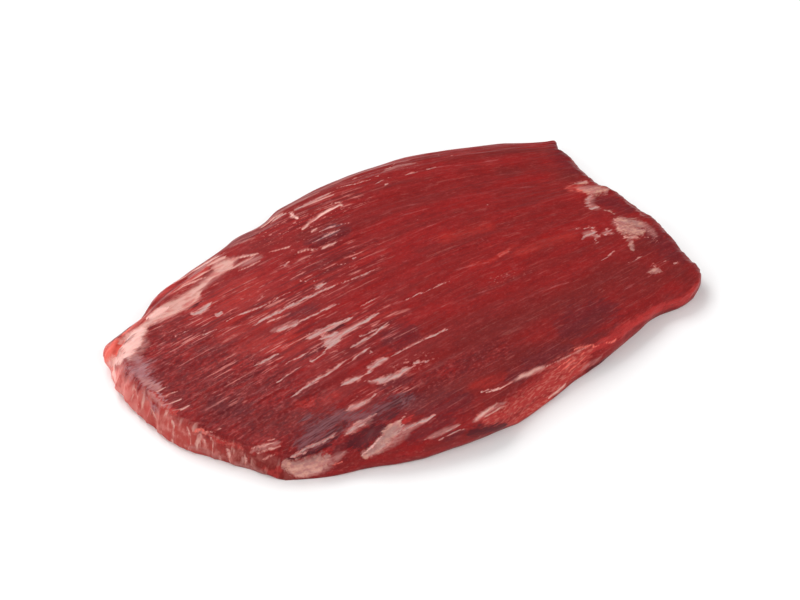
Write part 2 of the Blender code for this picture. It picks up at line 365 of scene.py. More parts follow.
mesh.uv_layers.new(name="OFBake").data.foreach_set("uv", spots.ravel())

steak = bpy.data.objects.new("steak", mesh)
bpy.context.scene.collection.objects.link(steak)

BESIDE_HEIGHT = 0.008
body_tree = BVHTree.FromPolygons(body.tolist(), [tuple(face.vertices) for face in mesh.polygons])


def on_steak(pixel):
    """The point of the meat that a pixel of the photograph shows, or the one nearest to it."""
    sight = sight_line(pixel)
    hit = body_tree.ray_cast(camera.location, sight)[0]
    if hit is None:
        beside = camera.location + sight * ((BESIDE_HEIGHT - camera.location.z) / sight.z)
        hit = body_tree.find_nearest(beside)[0]
    return np.array(hit)


# Marks on the meat: (width in pixels of the photograph, the pixels that its path follows).
# First the fat, then the skins, then darker and brighter meat, some of it painted shade and light.
METRES_PER_PIXEL = 0.00053
CREAM_FAT = (
    # strap of fat folded along the far left edge, and the fingers of its upper end
    (10, (146, 324), (158, 318), (172, 312), (188, 304), (200, 292)),
    (9, (152, 318), (166, 311), (180, 304), (192, 296)),
    (8, (150, 315), (164, 308), (180, 300), (194, 291), (206, 282)),
    (6, (158, 309), (172, 303), (184, 298)),
    (5, (188, 296), (204, 283), (216, 273), (226, 264)),
    (11, (214, 270), (224, 264), (234, 259)),
    (8, (212, 276), (224, 270), (234, 264)),
    (7, (206, 266), (216, 261), (226, 256)),
    (3, (232, 258), (246, 256), (259, 253)),
    (3, (231, 269), (243, 262), (254, 256)),
    (2, (238, 271), (250, 266), (262, 260)),
    # thin streaks outside the strap
    (5, (176, 282), (192, 271), (206, 262), (217, 255)),
    (3, (180, 287), (196, 277), (212, 268)),
    (2, (172, 293), (186, 285), (206, 277)),
    (2.5, (200, 266), (214, 259), (224, 252)),
    (3, (260, 228), (272, 219), (285, 212)),
    # fat beside the nub of the left end
    (10, (112, 366), (122, 352), (134, 341), (146, 327)),
    (6, (120, 364), (130, 352), (142, 340)),
    (6, (124, 357), (131, 349), (138, 342)),
    (9, (119, 343), (127, 337), (138, 330), (148, 321)),
    (6, (110, 368), (114, 361), (120, 352)),
    # bright specks of the far side
    (4.5, (290, 211), (293, 217), (300, 218)),
    (3.5, (309, 223), (318, 216), (331, 209), (341, 204)),
    (2.5, (331, 203), (341, 202), (342, 209)),
    (3.2, (301, 230), (310, 223)),
    (3, (311, 232), (317, 228)),
    (2.6, (296, 253), (305, 250), (318, 249)),
    (3.6, (320, 249), (328, 245), (336, 242)),
    (3, (302, 207), (316, 201), (334, 194)),
    (2, (270, 252), (281, 249), (292, 245)),
    # fat of the near left corner, and the rim beside it
    (5, (288, 470), (302, 469), (316, 465), (328, 460)),
    (7, (294, 475), (306, 474), (322, 468)),
    (2.2, (250, 449), (261, 446), (273, 443)),
    (2, (257, 453), (268, 449), (281, 446)),
    (1.4, (266, 441), (276, 438)),
    (2, (262, 460), (268, 457), (275, 454)),
    # pale edge near the middle of the near side
    (4, (473, 422), (480, 416), (486, 411)),
    (1.8, (480, 416), (490, 409), (500, 401)),
    (1.6, (484, 417), (497, 410), (508, 405)),
    # frayed rim above the cut left end, and the upright skins below it
    (1.6, (147, 392), (158, 391), (168, 386)),
    (1.6, (153, 398), (166, 396), (178, 390)),
    (1.8, (160, 405), (172, 403), (183, 398)),
    (1.5, (168, 411), (180, 410), (190, 405)),
    (1.5, (203, 432), (214, 432), (222, 428)),
    (2.2, (172, 416), (174, 426), (173, 438)),
    (2.2, (187, 425), (190, 434), (191, 445)),
    (3, (200, 433), (203, 442), (206, 451)),
    (2.6, (210, 437), (213, 447), (214, 457)),
    (3, (227, 448), (230, 456), (230, 463)),
    (2.2, (243, 452), (245, 459), (245, 466)),
    (2.2, (150, 404), (153, 412), (155, 422)),
    (2.4, (133, 386), (136, 396), (140, 406)),
    # near right cut: a painted highlight along its crest, and pale streaks below it
    (4, (518, 378), (531, 373), (545, 366)),
    (1.5, (545, 367), (565, 358), (588, 347)),
    (1.6, (484, 393), (503, 387), (520, 378)),
    (3, (547, 399), (557, 391), (567, 383)),
    # right end
    (3, (614, 217), (618, 226), (623, 234)),
    (2.5, (622, 237), (630, 238), (640, 236)),
)
HAZY_FAT_AND_SHEEN = (
    # strap and the streaks outside it
    (12, (144, 324), (158, 316), (172, 307), (186, 299)),
    (13, (184, 298), (200, 287), (214, 275), (226, 264)),
    (14, (214, 268), (226, 262), (238, 258)),
    (9, (236, 266), (250, 261), (262, 256)),
    (10, (188, 277), (202, 268), (218, 256)),
    (4, (228, 248), (240, 243), (256, 237)),
    (9, (192, 270), (206, 260), (222, 250)),
    (14, (116, 362), (126, 350), (138, 336), (146, 328)),
    (12, (130, 360), (139, 351), (147, 340)),
    # rim above the cut left end
    (3, (197, 430), (208, 434), (220, 439)),
    (7, (188, 444), (203, 451), (222, 458)),
    (6, (232, 463), (248, 468), (264, 472)),
    (6, (146, 391), (156, 400), (165, 407)),
    (8, (142, 378), (151, 385), (162, 389)),
    # near left corner, and the lobe that folds over the near edge
    (12, (288, 467), (302, 466), (320, 461)),
    (12, (296, 474), (312, 472), (332, 464)),
    (8, (322, 463), (334, 459), (345, 452)),
    (5, (428, 439), (442, 432), (458, 425)),
    (5, (250, 452), (264, 447), (280, 442)),
    (6, (372, 456), (387, 446), (399, 435), (407, 425)),
    (10, (382, 449), (396, 440), (410, 429)),
    (6, (398, 434), (414, 426), (430, 418)),
    (8, (345, 434), (356, 427), (372, 419)),
    (8, (346, 411), (358, 405), (370, 400)),
    # star of the middle, and the streaks near it
    (12, (323, 343), (331, 339), (341, 334)),
    (8, (334, 337), (350, 329), (364, 321)),
    (7, (306, 339), (324, 331), (340, 324)),
    (6, (343, 383), (354, 379), (362, 376)),
    (6, (368, 368), (378, 363), (388, 358)),
    (7, (370, 382), (382, 380), (398, 375), (410, 368)),
    (7, (272, 331), (286, 326), (298, 321)),
    # near right cut, with a painted highlight along its crest
    (5, (472, 423), (480, 416), (492, 408), (506, 402)),
    (5, (514, 380), (530, 373), (546, 366)),
    (4, (580, 371), (591, 363), (602, 356)),
    # right end
    (13, (578, 189), (590, 188), (600, 187)),
    (20, (614, 220), (626, 225), (640, 231)),
    (9, (639, 221), (648, 227), (656, 237)),
    (7, (582, 234), (590, 232), (598, 238)),
    (8, (592, 194), (590, 204), (598, 210)),
    (5, (602, 234), (608, 232), (614, 234)),
    # far rim: pale streaks of fat, with a painted sheen along the rim
    (3.5, (624, 200), (634, 207), (644, 216)),
    (4, (560, 148), (572, 161), (586, 175), (598, 183)),
    (6, (250, 232), (272, 218), (294, 204), (320, 192)),
    (4, (318, 191), (345, 179), (380, 167), (410, 160)),
    (6, (384, 171), (398, 166), (414, 163)),
)
GREY_FAT = (
    # beside the strap
    (6, (190, 314), (200, 312), (210, 304)),
    (5, (213, 317), (223, 311)),
    # long streaks of the left middle
    (1.3, (198, 337), (221, 327)),
    (1.3, (170, 338), (188, 330)),
    (1.4, (223, 322), (258, 308), (292, 291)),
    (3.6, (253, 325), (262, 320), (302, 300), (332, 286)),
    (1.4, (328, 288), (341, 283)),
    (5, (314, 289), (320, 286), (325, 283)),
    (1.5, (296, 281), (312, 281), (326, 277)),
    (2.4, (266, 322), (286, 315)),
    (5, (274, 332), (284, 328), (296, 324)),
    (2.6, (290, 327), (320, 312), (338, 303)),
    (1.5, (283, 306), (306, 300)),
    (1.6, (360, 306), (374, 299)),
    (1.5, (404, 301), (418, 294), (451, 280)),
    (1.6, (339, 284), (367, 273), (374, 270)),
    (1.5, (336, 265), (345, 263)),
    (1.5, (345, 269), (350, 266)),
    (2, (352, 258), (356, 256)),
    (1.6, (281, 266), (292, 261)),
    (2.2, (250, 368), (262, 362), (279, 353)),
    (1.6, (274, 384), (298, 368)),
    (3.2, (293, 395), (313, 382), (330, 371), (347, 360)),
    (1.4, (282, 366), (300, 356), (319, 347)),
    (3, (309, 362), (320, 356), (327, 350)),
    # star of fat in the middle, with its arms
    (7, (322, 345), (331, 341), (341, 335)),
    (8, (320, 338), (330, 336), (340, 331)),
    (6, (325, 349), (334, 343), (340, 338)),
    (4.5, (335, 338), (351, 329), (365, 321), (378, 312)),
    (3.5, (304, 340), (322, 332), (342, 323), (350, 318)),
    (2.2, (305, 335), (327, 327), (349, 318)),
    (2.6, (350, 348), (373, 335), (389, 322)),
    (2.2, (357, 337), (381, 327)),
    (6, (326, 343), (333, 339), (340, 336)),
    (2, (353, 359), (369, 348)),
    (3, (368, 353), (373, 351)),
    # lobe that folds over the near edge, and its tail
    (3, (361, 458), (371, 451), (381, 442), (389, 432)),
    (5, (364, 458), (374, 452), (386, 443), (397, 432), (404, 424)),
    (7, (374, 448), (384, 440), (393, 430), (400, 420)),
    (3, (396, 434), (406, 429), (416, 424), (427, 420), (437, 414)),
    (2, (398, 426), (402, 419), (406, 413)),
    # streaks nearer the near edge
    (6.5, (343, 383), (352, 380), (361, 377)),
    (2, (358, 378), (366, 374), (374, 368)),
    (6, (368, 369), (376, 363), (388, 357)),
    (2, (388, 358), (402, 350), (429, 337), (451, 327)),
    (3, (362, 382), (370, 381), (378, 380)),
    (7, (374, 381), (384, 380), (394, 376), (402, 372)),
    (4, (392, 376), (402, 371), (412, 366)),
    (3, (413, 363), (429, 361)),
    (3, (292, 457), (304, 450), (316, 444), (330, 438)),
    (2.2, (300, 455), (314, 446), (330, 438), (348, 425)),
    (5.5, (347, 410), (356, 406), (366, 402)),
    (2, (362, 403), (372, 397), (378, 392)),
    (5, (346, 434), (354, 428), (366, 422)),
    (2.5, (357, 424), (367, 418), (378, 413)),
    (2, (481, 391), (492, 390), (503, 388)),
    (2.5, (479, 420), (486, 411), (495, 406)),
    (3, (476, 438), (482, 434)),
    (1.8, (424, 441), (440, 434), (462, 424)),
    (1.5, (438, 441), (450, 435), (464, 429)),
    # right end: star of fat, and the threads and specks round it
    (2, (643, 236), (652, 238), (658, 243)),
    (2, (644, 228), (650, 232)),
    (4, (590, 194), (588, 203), (592, 210)),
    (3, (592, 209), (597, 207), (601, 208)),
    (2, (573, 183), (587, 181), (598, 184)),
    (4, (582, 238), (589, 234), (597, 231)),
    (4, (588, 226), (595, 231), (599, 238)),
    (2, (574, 229), (584, 228), (590, 229)),
    (2, (595, 236), (596, 242), (596, 247)),
    (3, (604, 236), (608, 231), (614, 234)),
    (2, (604, 229), (612, 230)),
    (1.2, (599, 262), (606, 258), (616, 249)),
    (1.2, (628, 264), (643, 255)),
    (2.5, (653, 263), (656, 270)),
    (2.5, (664, 261), (668, 260)),
    (2.5, (673, 264), (677, 263)),
    # speckled marks of the far side
    (2.2, (305, 205), (320, 197), (335, 191)),
    (4.5, (292, 211), (305, 205), (318, 199)),
    (4.5, (270, 223), (278, 217), (289, 212)),
    (2.4, (320, 231), (336, 225), (352, 221)),
    (2.4, (312, 243), (326, 236), (340, 229)),
    (1.8, (336, 188), (352, 184), (369, 180)),
    (2.4, (406, 174), (417, 171)),
    (2.2, (426, 170), (437, 166)),
    (2.4, (371, 185), (375, 184)),
    (2.4, (385, 185), (389, 183)),
    (2.2, (387, 178), (391, 177)),
    (2.2, (378, 182), (382, 181)),
    (2, (360, 182), (364, 181)),
    (2, (352, 179), (359, 176)),
    (2, (374, 177), (381, 175)),
    (2, (384, 169), (389, 168)),
    (2, (391, 165), (395, 164)),
    (1.8, (399, 165), (403, 165)),
    (2, (438, 155), (443, 154)),
    (2, (451, 156), (455, 155)),
    (1.8, (475, 196), (479, 195)),
    (1.8, (486, 205), (489, 204)),
    (1.6, (417, 220), (420, 219)),
)
THIN_SKIN = (
    # grey purple film of the near left, and the flecked band after it
    (17, (298, 448), (314, 434), (330, 421), (347, 412)),
    (9, (300, 453), (318, 442), (343, 427)),
    (12, (354, 423), (368, 416), (392, 404), (414, 395)),
    (9, (342, 425), (352, 418), (361, 411)),
    # between the streaks of the middle and of the far side
    (4, (322, 230), (332, 226), (351, 222)),
    (4, (312, 243), (324, 237), (339, 231)),
    (5, (300, 421), (312, 413)),
)
PALE_FILM = (
    # lilac film of the left end and its tails
    (19, (136, 356), (138, 366), (142, 377)),
    (9, (141, 374), (150, 383), (160, 388)),
    (5, (148, 402), (156, 409), (160, 412)),
    (3, (146, 386), (156, 399), (163, 411)),
    (2.4, (156, 390), (164, 399), (170, 408)),
    (2.4, (142, 392), (150, 403), (156, 414)),
)
# Painted shade: dark hollows and creases, the slit under the near left film, and the foot of the
# undercut near edge
HOLLOW_AND_CREASE_SHADE = (
    (19, (350, 446), (366, 437), (385, 426)),
    (12, (367, 437), (378, 431), (387, 425)),
    (6, (386, 420), (394, 416), (402, 412)),
    (2.5, (319, 449), (334, 439), (348, 429)),
    (3, (286, 459), (302, 456), (316, 451), (330, 446)),
    (4, (311, 453), (320, 449), (332, 445)),
    (3, (187, 311), (204, 300)),
    (4, (326, 333), (336, 329), (346, 324)),
    (4, (584, 373), (600, 362), (614, 351)),
    (12, (466, 434), (480, 431), (494, 428), (508, 423)),
)
# Freshly cut meat, partly painted light: some strokes lighten faces that turn from the lamps
FRESH_AND_LIT_MEAT = (
    (15, (484, 421), (510, 410), (532, 396), (553, 379)),
    (16, (540, 386), (562, 368), (592, 351)),
    (12, (548, 392), (570, 376), (590, 363)),
    (9, (477, 414), (485, 420), (505, 424)),
    # painted light on the side face below the near right cut
    (10, (508, 424), (530, 411), (552, 396)),
    (12, (566, 188), (577, 188), (588, 191)),
    (5, (202, 433), (220, 441), (246, 450)),
    # painted light on the far left rim, which turns from the lamps
    (12, (166, 297), (180, 287), (196, 275), (212, 262)),
    (7, (150, 391), (162, 403), (176, 414)),
    (4, (521, 378), (543, 369), (563, 361), (589, 347)),
    (20, (104, 356), (111, 350), (119, 346)),
    (9, (112, 344), (126, 333), (144, 319), (150, 308)),
    (4, (497, 258), (505, 252), (512, 247)),
)
# Bright red meat: two small patches, and the rims of the right end and the far left, painted
# lighter where they curl under into shade
SCARLET_AND_LIT_RIMS = (
    (4, (400, 426), (407, 420), (415, 414)),
    (7, (272, 352), (280, 348), (290, 343)),
    (11, (590, 351), (604, 343), (618, 334), (630, 326), (642, 317)),
    (9, (634, 324), (650, 312), (668, 305), (682, 299)),
    (9, (678, 301), (690, 295), (698, 287), (704, 278)),
    (9, (628, 328), (646, 317), (664, 308), (690, 299)),
    (9, (149, 306), (157, 298), (168, 289), (179, 280)),
)
PEACH_HIGHLIGHTS = (
    # the orange nub of the left end, painted lighter as if lit by the lamp on the left, and
    # painted wet glints near the left end and the near left corner
    (15, (106, 360), (110, 353), (117, 346), (124, 340)),
    (6, (124, 334), (134, 325), (146, 315)),
    (4, (193, 431), (201, 430), (209, 434)),
    (2, (325, 468), (334, 464), (343, 461)),
    # painted highlights of the near right cut and of the right end
    (1.5, (559, 373), (571, 363), (585, 352)),
    (1.6, (566, 374), (578, 364), (590, 354)),
    (2.2, (574, 350), (588, 346), (600, 346)),
    (1.5, (553, 371), (568, 361), (580, 352)),
    (2, (603, 344), (612, 342), (618, 337)),
    (7, (577, 189), (586, 190), (594, 192)),
)
GLOWING_MEAT = (
    (14, (304, 404), (318, 401), (334, 396)),
    (28, (246, 348), (268, 343), (290, 340)),
    (12, (476, 386), (490, 381), (504, 376)),
    (20, (222, 338), (245, 329), (268, 320)),
    (34, (204, 310), (226, 299), (248, 290)),
    (26, (232, 330), (252, 322), (276, 312)),
    (7, (470, 266), (490, 261), (505, 253), (514, 246)),
    (16, (446, 239), (466, 232), (488, 226)),
    (16, (520, 252), (545, 243), (570, 236)),
)
PATCHY_FAT = (
    # fat of the near left corner, and the lobe that folds over the near edge
    (7, (283, 463), (300, 464), (316, 460), (331, 455)),
    (11, (288, 467), (304, 468), (327, 461)),
    (7, (294, 474), (307, 473), (321, 468)),
    (6, (283, 464), (288, 470), (296, 476)),
    (6.5, (361, 457), (374, 450), (386, 439), (396, 428)),
    (8, (384, 433), (392, 427), (401, 422)),
    # soft warm patches of the right end
    (9, (583, 191), (595, 191), (608, 189)),
    (3, (573, 184), (585, 183), (598, 184)),
    (2, (602, 210), (610, 211), (616, 216)),
    (12, (616, 219), (629, 222), (643, 225)),
    (11, (618, 227), (631, 231), (645, 231)),
    (4, (626, 236), (631, 243), (633, 251)),
    (5, (648, 272), (655, 271), (662, 270)),
)
LILAC_FAT = (
    (6, (292, 463), (304, 461), (317, 458), (331, 453)),
    (10, (366, 453), (373, 447), (380, 441)),
    (8, (380, 441), (388, 434), (396, 426)),
    (9, (626, 217), (634, 222), (641, 229)),
    (5, (592, 199), (592, 206), (599, 210)),
    (4, (632, 245), (633, 252)),
)
# Palest fat, partly painted highlight and light
BRIGHT_FAT_AND_HIGHLIGHTS = (
    (3, (290, 212), (294, 217), (300, 218)),
    (2, (311, 222), (320, 215), (330, 209), (339, 205)),
    # painted highlight along the rim of the lobe, and the lower edge of the corner's fat
    (1.6, (361, 456), (372, 447), (384, 434)),
    (4, (194, 271), (206, 263), (219, 256)),
    # fat beside the nub of the left end, painted paler where the lamp on the left lights it most
    (9, (103, 368), (109, 364), (116, 358)),
    (5, (110, 368), (116, 362), (122, 355)),
    (9, (120, 343), (129, 337), (138, 329)),
    (9, (118, 352), (126, 346), (136, 338), (142, 326)),
    (9, (118, 363), (126, 355), (133, 346), (140, 337)),
    (5, (108, 370), (111, 376), (114, 382)),
    # core of the strap
    (6, (146, 319), (156, 313), (168, 307)),
)
FAINT_STREAKS = (
    (1.6, (380, 248), (400, 240), (430, 226), (480, 207)),
    (2.6, (400, 262), (408, 260)),
    (2.0, (390, 306), (404, 300)),
    (2.2, (380, 212), (400, 207), (424, 203)),
    (2.0, (452, 271), (470, 266), (490, 262)),
    (3.0, (500, 277), (510, 275)),
    (2.0, (440, 329), (452, 326)),
    (1.8, (480, 238), (492, 243)),
    (1.6, (400, 175), (440, 167), (500, 160)),
    (1.6, (440, 201), (476, 194), (507, 188), (552, 186)),
    (1.6, (355, 232), (390, 219), (430, 208)),
    (1.8, (520, 300), (545, 290), (570, 282)),
    (1.6, (600, 285), (622, 270), (640, 262)),
    (1.6, (624, 290), (640, 280), (652, 275)),
    (1.6, (430, 312), (470, 296), (500, 286)),
    (1.6, (340, 252), (372, 240), (400, 231)),
)
DUSKY_MEAT = (
    (34, (562, 334), (584, 318), (614, 304)),
    (9, (302, 358), (313, 352), (324, 346)),
    (13, (334, 451), (345, 445), (357, 438)),
    (20, (524, 366), (546, 357), (570, 347)),
    (14, (506, 379), (517, 375), (530, 371)),
    (26, (384, 342), (400, 335), (416, 328)),
    (14, (378, 388), (398, 382), (412, 378)),
    (9, (286, 316), (302, 311), (318, 306)),
    (16, (305, 245), (325, 238), (350, 228)),
    (22, (556, 146), (563, 160), (578, 172)),
    (18, (592, 201), (612, 201), (634, 212)),
    (24, (645, 226), (662, 240), (682, 262)),
    (26, (420, 420), (440, 409), (470, 396)),
    (20, (372, 424), (396, 411), (426, 400)),
    (20, (208, 402), (224, 406), (252, 410)),
    (12, (404, 440), (430, 430), (455, 420)),
    (7, (440, 440), (452, 435), (464, 431)),
)
# Painted shade: broad darker places of the upper face, of the near side and of the right rim
SHADED_MEAT = (
    (90, (450, 340), (520, 322), (600, 285), (640, 272)),
    (30, (505, 172), (535, 166), (572, 176)),
    (36, (640, 250), (668, 268)),
    (56, (420, 400), (470, 385), (530, 352)),
    (22, (450, 160), (500, 153), (548, 150)),
    (44, (650, 246), (672, 262), (688, 280)),
    (44, (210, 404), (236, 412), (270, 420), (320, 420)),
    (26, (300, 236), (330, 222)),
    (26, (302, 213), (328, 204), (354, 195)),
    (18, (430, 448), (460, 438), (492, 427)),
    (22, (404, 424), (420, 412), (440, 402)),
    (40, (600, 315), (560, 345)),
)
GRAINED_MEAT = (
    (100, (110, 345), (170, 375), (230, 410), (300, 430)),
    (70, (170, 345), (240, 370), (300, 400)),
    (34, (400, 400), (440, 375), (500, 350)),
)
STREAKED_MEAT = (
    (90, (150, 350), (230, 310), (300, 280), (345, 262)),
    (80, (230, 380), (300, 345), (380, 325)),
    (50, (250, 235), (310, 215), (350, 195)),
    (26, (360, 400), (380, 398), (404, 392)),
)
SPECKED_MEAT = (
    (36, (265, 235), (300, 220), (334, 208)),
    (26, (300, 245), (330, 235)),
    (12, (355, 180), (385, 171), (415, 165)),
    (20, (400, 368), (425, 358)),
    (14, (495, 280), (525, 272)),
)

# How the edges of the marks fray: how far, and how long and wide the tufts are
FRAY_ALONG = 0.0030
FRAY_ALONG_PITCH = (0.010, 0.0012)
FRAY_ACROSS = 0.0007
FRAY_ACROSS_PITCH = (0.005, 0.0016)
LOBE_DEPTH = 0.0009
LOBE_PITCH = (0.0050, 0.0024)

# In half widths of a mark: how far off it still counts, and how wide its edge fades
# out. As shares: the width left at its ends, and the least grain of smooth meat.
FAR_AWAY = 4.0
SOFT_EDGE = 0.9
BLUNT_END = 0.25
SMOOTH_MEAT = 0.16


def mark_distance(strokes, points, pointed=True):
    """Distance from points to the nearest mark, in half widths of that mark."""
    nearest = np.full(len(points), FAR_AWAY)
    for pixels, *path in strokes:
        spots = np.array([on_steak(pixel) for pixel in path])
        half_width = 0.5 * pixels * METRES_PER_PIXEL
        reach = FAR_AWAY * half_width
        near = np.flatnonzero(np.all((points > spots.min(axis=0) - reach)
                                     & (points < spots.max(axis=0) + reach), axis=1))
        distance, share = path_distance(points[near], spots)
        if pointed:
            taper = np.sqrt(np.maximum(1 - np.abs(2 * share - 1) ** 3, 0.0))
            distance /= BLUNT_END + (1 - BLUNT_END) * taper
        nearest[near] = np.minimum(nearest[near], distance / half_width)
    return nearest


grain = np.stack((body[:, 0], across_fibres(body), body[:, 2]), axis=-1)
frayed = body.copy()
frayed[:, 0] += FRAY_ALONG * ripple(grain[:, 0] / FRAY_ALONG_PITCH[0],
                                    grain[:, 1] / FRAY_ALONG_PITCH[1], 5.0)
frayed[:, 1] += FRAY_ACROSS * ripple(grain[:, 0] / FRAY_ACROSS_PITCH[0],
                                     grain[:, 1] / FRAY_ACROSS_PITCH[1], 9.0)
for axis in (0, 1):
    lobes = ripple(grain[:, 0] / LOBE_PITCH[0], grain[:, 1] / LOBE_PITCH[1], 13.0 + 4.0 * axis)
    frayed[:, axis] += LOBE_DEPTH * lobes
half_frayed = 0.5 * body + 0.5 * frayed

# Distances from the marks that the material draws with an edge: (name, marks, fraying)
marks = {
    name: mark_distance(strokes, points)
    for name, strokes, points in (
        ("cream", CREAM_FAT, half_frayed), ("grey", GREY_FAT, frayed),
        ("skin", THIN_SKIN, frayed), ("film", PALE_FILM, frayed),
        ("dark", HOLLOW_AND_CREASE_SHADE, frayed), ("fresh_and_lit", FRESH_AND_LIT_MEAT, frayed),
        ("peach_highlight", PEACH_HIGHLIGHTS, frayed), ("bright", BRIGHT_FAT_AND_HIGHLIGHTS, half_frayed),
        ("patchy", PATCHY_FAT, half_frayed), ("lilac", LILAC_FAT, half_frayed),
        ("faint", FAINT_STREAKS, body), ("scarlet", SCARLET_AND_LIT_RIMS, frayed),
        ("dusky", DUSKY_MEAT, frayed),
    )
}

# Covers from 0 to 1 that fade out: (name, marks, reach in half widths, least cover)
covers = {
    name: np.clip((reach - mark_distance(strokes, frayed, False)) / SOFT_EDGE, least, 1.0)
    for name, strokes, reach, least in (
        ("shaded", SHADED_MEAT, 1.0, 0.0), ("grained", GRAINED_MEAT, 1.3, SMOOTH_MEAT),
        ("glowing", GLOWING_MEAT, 1.3, 0.0), ("specked", SPECKED_MEAT, 1.3, 0.0),
        ("streaked", STREAKED_MEAT, 1.3, SMOOTH_MEAT),
    )
}
covers["hazy"] = np.clip((1.2 - mark_distance(HAZY_FAT_AND_SHEEN, half_frayed)) / SOFT_EDGE, 0.0, 1.0)

# The trimmed left end shows the bundles end on, below a frayed line
LEFT_CUT_DEPTH = 0.0038
CUT_FADE = 1.5
CUT_LINE_PITCH = (0.020, 0.0040)
cut_line = LEFT_CUT_DEPTH * (1.0 + ripple(grain[:, 0] / CUT_LINE_PITCH[0],
                                          grain[:, 1] / CUT_LINE_PITCH[1], 2.0))
left_cut = np.clip(CUT_FADE - u * length / cut_line, 0.0, 1.0) * (step < CURL_STEPS)

# Relief of the surface, as distances out along its normal: fibres, grain, proud fat,
# sunk hollows, the ends of the bundles in the cut, and the ragged near and right rims
FIBRE_PITCH = 0.0030
FIBRE_LENGTH = 0.035
FIBRE_DEPTH = 0.00040
GRAIN_PITCH = 0.0016
GRAIN_LENGTH = 0.005
GRAIN_DEPTH = 0.00035
FAT_RISE = 0.00040
DARK_SINK = 0.00050
MARK_FOOT = 1.3
BUNDLE_END_PITCH = (0.030, 0.0085, 0.020)
BUNDLE_END_DEPTH = 0.0042
RAGGED_PITCH = 0.0120
RAGGED_REACH = 0.006
RAGGED_DEPTH = 0.0015
RAGGED_FINE_SHARE = 0.4
RAGGED_FINE_RATIO = 2.3
CALM_NEAR_LEFT = 0.004

normals = np.empty(count * 3)
mesh.vertex_normals.foreach_get("vector", normals)
normals = normals.reshape(-1, 3)
fibres = ripple(grain[:, 0] / FIBRE_LENGTH, grain[:, 1] / FIBRE_PITCH, grain[:, 2] / FIBRE_PITCH)
grains = ripple(grain[:, 0] / GRAIN_LENGTH, grain[:, 1] / GRAIN_PITCH, 3.0)
ends = np.abs(ripple(*(grain / BUNDLE_END_PITCH).T))
push = (FIBRE_DEPTH * fibres + GRAIN_DEPTH * grains * covers["grained"]) * (1 - left_cut)
push += BUNDLE_END_DEPTH * (ends - ends.mean()) * left_cut
from_rim = np.minimum(v * width + CALM_NEAR_LEFT * (1 - u), (1 - u) * length)
ragged = ripple(*(body / RAGGED_PITCH).T)
ragged += RAGGED_FINE_SHARE * ripple(*(body / RAGGED_PITCH * RAGGED_FINE_RATIO + 5.0).T)
push += RAGGED_DEPTH * ragged * np.clip(1 - from_rim / RAGGED_REACH, 0.0, 1.0)
push += FAT_RISE * np.clip(MARK_FOOT - np.minimum(marks["cream"], marks["grey"]), 0.0, 1.0)
push -= DARK_SINK * np.clip(MARK_FOOT - marks["dark"], 0.0, 1.0)
push *= np.clip(1 - step / CURL_STEPS, 0.0, 1.0)
surface = body + push[:, None] * normals
surface[:, 2] = np.maximum(surface[:, 2], 0.0)
mesh.vertices.foreach_set("co", surface.ravel())


def store(name, values, kind="FLOAT"):
    """Keep values on the mesh's points for its material to read."""
    layer = mesh.attributes.new(name, kind, "POINT")
    layer.data.foreach_set("vector" if kind == "FLOAT_VECTOR" else "value", values.ravel())


store("grain", grain, "FLOAT_VECTOR")
for name, values in (marks | covers | {"left_cut": left_cut, "cut_place": v}).items():
    store(name, values)
mesh.update()

# Colours of the meat, of its cut end, of the skins on it and of its fat, and of painted shade and
# highlights
MEAT_RED = (0.272, 0.0122, 0.0122, 1.0)
MEAT_BRIGHT = (0.312, 0.0122, 0.0122, 1.0)
MEAT_SHADED = (0.168, 0.0165, 0.0155, 1.0)
MEAT_MAROON = (0.100, 0.011, 0.014, 1.0)
MEAT_GLOWING = (0.420, 0.026, 0.020, 1.0)
MEAT_ORANGE = (0.380, 0.028, 0.022, 1.0)
MEAT_PURPLE = (0.105, 0.0150, 0.0200, 1.0)
MEAT_SCARLET = (0.480, 0.034, 0.031, 1.0)
MEAT_FRESH = (0.430, 0.040, 0.035, 1.0)
PEACH_HIGHLIGHT_COLOUR = (0.850, 0.170, 0.130, 1.0)
FRESH_PINK = (0.560, 0.150, 0.120, 1.0)
VEIN_PINK = (0.420, 0.100, 0.098, 1.0)
CUT_DARK = (0.180, 0.016, 0.014, 1.0)
CUT_RED = (0.420, 0.068, 0.056, 1.0)
CUT_PALE = (0.780, 0.255, 0.225, 1.0)
HOLLOW_SHADE = (0.078, 0.012, 0.016, 1.0)
SKIN_DARK = (0.090, 0.022, 0.028, 1.0)
SKIN_PALE = (0.200, 0.078, 0.088, 1.0)
FILM_PINK = (0.360, 0.125, 0.130, 1.0)
FILM_LILAC = (0.440, 0.220, 0.235, 1.0)
FAT_HAZE_AND_SHEEN = (0.430, 0.175, 0.160, 1.0)
FAT_GREY = (0.495, 0.305, 0.283, 1.0)
FAT_PINK = (0.580, 0.188, 0.163, 1.0)
FAT_CREAM = (0.690, 0.372, 0.322, 1.0)
PALE_FAT_AND_HIGHLIGHT = (0.880, 0.520, 0.470, 1.0)
FAT_LILAC = (0.335, 0.168, 0.152, 1.0)
FAT_WARM = (0.600, 0.302, 0.238, 1.0)

beef = bpy.data.materials.new("raw_beef")
beef.use_nodes = True
nodes = beef.node_tree.nodes
links = beef.node_tree.links
shader = nodes["Principled BSDF"]


def feed(socket, value):
    """Wire a socket to another one, or set it to a value."""
    if isinstance(value, bpy.types.NodeSocket):
        links.new(value, socket)
    else:
        socket.default_value = value


def stored(name):
    """What the mesh keeps under a name."""
    reader = nodes.new("ShaderNodeAttribute")
    reader.attribute_name = name
    return reader.outputs["Vector" if name == "grain" else "Fac"]


def sums(operation, first, second=0.0):
    """Simple arithmetic on one or two values."""
    maths = nodes.new("ShaderNodeMath")
    maths.operation = operation
    feed(maths.inputs[0], first)
    feed(maths.inputs[1], second)
    return maths.outputs[0]


